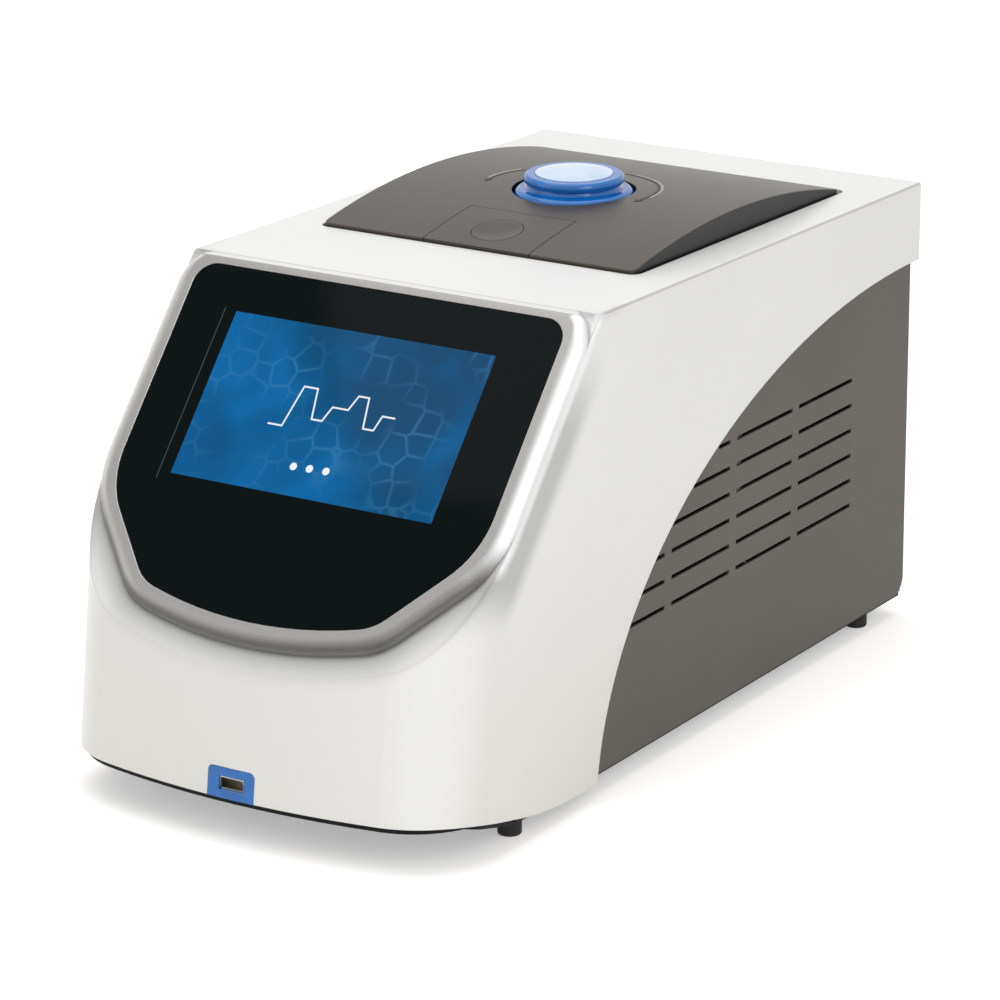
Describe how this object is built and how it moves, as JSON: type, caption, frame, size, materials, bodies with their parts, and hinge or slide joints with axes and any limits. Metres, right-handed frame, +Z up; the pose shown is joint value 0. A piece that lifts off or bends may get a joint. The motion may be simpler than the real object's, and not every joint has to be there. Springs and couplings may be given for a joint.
{
  "type": "thermal cycler",
  "caption": "Bench-top thermal cycler with a tilted touch screen, a heated well block, and a hinged heated lid closed by a push-button latch and pressed down by a round knob.",
  "frame": {"origin": "centre of the bounding box in plan, on the bench under the rubber feet", "axes": "+X to the user's right, +Y from the touch screen to the rear panel, +Z up"},
  "size_m": [0.238, 0.4744, 0.269],
  "materials": {
    "shell_paint": "silver-white satin paint, fine grain",
    "panel_paint": "warm grey satin paint",
    "black_sheet": "black powder coat",
    "rubber": "matt",
    "screw_steel": "zinc plated",
    "black_glass": "gloss black touch panel with printed display window",
    "display": "lit display",
    "sheet_steel": "bright zinc plated sheet",
    "board_green": "solder mask",
    "blue_plastic": "gloss moulded",
    "socket_metal": "nickel plated",
    "grey_moulding": "moulded, fine grain",
    "silicone": "silicone",
    "block_alloy": "machined, bead blasted",
    "ceramic": "alumina ceramic",
    "sink_alloy": "extruded",
    "turned_steel": "turned and ground",
    "black_plastic": "moulded",
    "spring_steel": "spring wire",
    "lid_paint": "warm grey satin paint",
    "bronze": "sintered bronze",
    "pale_cap": "gloss moulded, pale blue",
    "heater_film": "polyimide heater film",
    "fuse_glass": "clear tube"
  },
  "bodies": {
    "housing": {"upper_shell": "shell_paint", "side_panel_left": "panel_paint", "side_panel_right": "panel_paint", "base_tray": "black_sheet", "feet": "rubber", "foot_screws": "screw_steel", "touch_glass": "black_glass", "lcd_module": "display", "display_bracket": "sheet_steel", "control_board": "board_green", "usb_bezel": "blue_plastic", "usb_socket": "socket_metal", "usb_board": "board_green", "block_deck": "grey_moulding", "block_gasket": "silicone", "sample_block": "block_alloy", "peltier_modules": "ceramic", "heat_sink": "sink_alloy", "chassis_posts": "turned_steel", "air_duct": "black_plastic", "fan_frame_left": "black_plastic", "fan_frame_right": "black_plastic", "rear_panel": "panel_paint", "fan_screws": "screw_steel", "mains_inlet": "black_plastic", "inlet_pins": "socket_metal", "rocker_pin": "turned_steel", "data_socket": "socket_metal", "data_board": "board_green", "power_supply": "sheet_steel", "board_posts": "turned_steel", "driver_board": "board_green", "hinge_brackets": "turned_steel", "hinge_pins": "turned_steel", "lid_springs": "spring_steel", "latch_keeper": "turned_steel"},
    "lid": {"lid_cover": "lid_paint", "catch_plate": "lid_paint", "lid_base": "grey_moulding", "spindle_bearing": "bronze", "guide_pins": "turned_steel", "hook_pin": "turned_steel", "button_spring": "spring_steel"},
    "knob": {"knob": "blue_plastic", "knob_cap": "pale_cap", "spindle": "turned_steel"},
    "heated_plate": {"heated_plate": "block_alloy", "heater_mat": "heater_film", "plate_carrier": "black_plastic"},
    "latch_button": {"latch_button": "lid_paint"},
    "latch_hook": {"latch_hook": "turned_steel"},
    "fan_rotor_left": {"fan_rotor_left": "black_plastic"},
    "fan_rotor_right": {"fan_rotor_right": "black_plastic"},
    "power_rocker": {"power_rocker": "black_plastic"},
    "fuse_drawer": {"fuse_drawer": "black_plastic", "fuse": "fuse_glass"}
  },
  "joints": [
    {"name": "lid_hinge", "type": "hinge", "parent": "housing", "child": "lid", "pos_m": [0, 0.182, 0.236], "axis": [-1, 0, 0], "range_deg": [0, 80]},
    {"name": "knob_turn", "type": "hinge", "parent": "lid", "child": "knob", "pos_m": [0, 0.0767, 0.2526], "axis": [0, 0, -1], "range_deg": [0, 360]},
    {"name": "plate_press", "type": "slide", "parent": "lid", "child": "heated_plate", "axis": [0, 0, -1], "range_m": [0, 0.006]},
    {"name": "latch_press", "type": "slide", "parent": "lid", "child": "latch_button", "axis": [0, 0, -1], "range_m": [0, 0.003], "stiffness_N_per_m": 600, "deforming": ["button_spring"]},
    {"name": "latch_hook_pivot", "type": "hinge", "parent": "lid", "child": "latch_hook", "pos_m": [0, -0.008, 0.236], "axis": [-1, 0, 0], "range_deg": [0, 16.5]},
    {"name": "fan_left_spin", "type": "hinge", "parent": "housing", "child": "fan_rotor_left", "pos_m": [-0.042, 0.2175, 0.15], "axis": [0, 1, 0], "continuous": true},
    {"name": "fan_right_spin", "type": "hinge", "parent": "housing", "child": "fan_rotor_right", "pos_m": [0.042, 0.2175, 0.15], "axis": [0, 1, 0], "continuous": true},
    {"name": "power_switch", "type": "hinge", "parent": "housing", "child": "power_rocker", "pos_m": [-0.062, 0.2302, 0.0885], "axis": [-1, 0, 0], "range_deg": [0, 20]},
    {"name": "fuse_drawer_pull", "type": "slide", "parent": "housing", "child": "fuse_drawer", "axis": [0, 1, 0], "range_m": [0, 0.012]}
  ],
  "couplings": [
    {"joint": "plate_press", "follows": "knob_turn", "m_per_rad": 0.00095493},
    {"joint": "latch_hook_pivot", "follows": "latch_press", "rad_per_m": 93.5}
  ]
}
